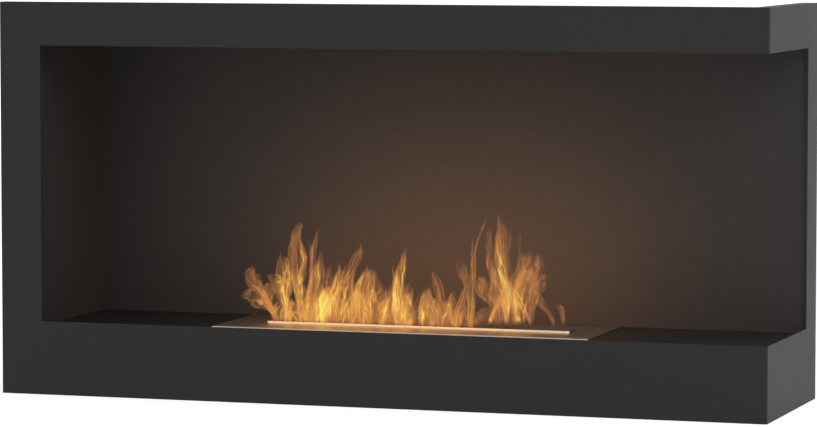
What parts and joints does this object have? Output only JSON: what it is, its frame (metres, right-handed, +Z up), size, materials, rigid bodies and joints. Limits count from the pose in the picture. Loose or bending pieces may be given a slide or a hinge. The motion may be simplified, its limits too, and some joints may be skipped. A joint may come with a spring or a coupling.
{
  "type": "bioethanol fireplace",
  "caption": "Built-in steel fireplace box for a right-hand corner, open at the front and right side, with a lift-out slotted burner, fuel tank and sliding shutter in its floor.",
  "frame": {"origin": "middle of the base, on the plane that it stands on", "axes": "+X to the right along the front, +Y towards the wall behind, +Z up; the open side faces +X and the front faces -Y"},
  "size_m": [1, 0.268, 0.5],
  "materials": {
    "powder_coat": "matte black powder coat",
    "stainless": "brushed",
    "galvanised": "galvanised sheet",
    "rivet_steel": "black-coated steel",
    "ceramic_wool": "matte ceramic-fibre wool"
  },
  "bodies": {
    "casing": {"back_spacer_lower": "galvanised", "back_spacer_upper": "galvanised", "casing_back": "powder_coat", "casing_bottom": "powder_coat", "casing_left": "powder_coat", "casing_top": "powder_coat", "ceiling_spacer_left": "galvanised", "ceiling_spacer_right": "galvanised", "facade_frame": "powder_coat", "firebox_back": "powder_coat", "firebox_ceiling": "powder_coat", "firebox_floor": "powder_coat", "firebox_left": "powder_coat", "floor_support_left": "galvanised", "floor_support_right": "galvanised", "left_spacer_front": "galvanised", "left_spacer_rear": "galvanised", "rivet_back_bottom_1": "rivet_steel", "rivet_back_bottom_2": "rivet_steel", "rivet_back_bottom_3": "rivet_steel", "rivet_back_left_1": "rivet_steel", "rivet_back_left_2": "rivet_steel", "rivet_back_right_1": "rivet_steel", "rivet_back_right_2": "rivet_steel", "rivet_back_right_3": "rivet_steel", "rivet_back_spacer_lower_1": "rivet_steel", "rivet_back_spacer_lower_2": "rivet_steel", "rivet_back_spacer_upper_1": "rivet_steel", "rivet_back_spacer_upper_2": "rivet_steel", "rivet_back_top_1": "rivet_steel", "rivet_back_top_2": "rivet_steel", "rivet_back_top_3": "rivet_steel", "rivet_left_bottom_1": "rivet_steel", "rivet_left_bottom_2": "rivet_steel", "rivet_left_top_1": "rivet_steel", "rivet_left_top_2": "rivet_steel"},
    "burner": {"burner_plate": "stainless", "fuel_tank": "stainless", "ceramic_wool": "ceramic_wool", "wool_grid": "stainless", "shutter_rail_left": "stainless", "shutter_rail_right": "stainless"},
    "shutter": {"shutter": "stainless"}
  },
  "joints": [
    {"name": "burner_lift", "type": "slide", "parent": "casing", "child": "burner", "axis": [0, 0, 1], "range_m": [0, 0.1]},
    {"name": "shutter_slide", "type": "slide", "parent": "burner", "child": "shutter", "axis": [0, -1, 0], "range_m": [0, 0.0275]}
  ]
}
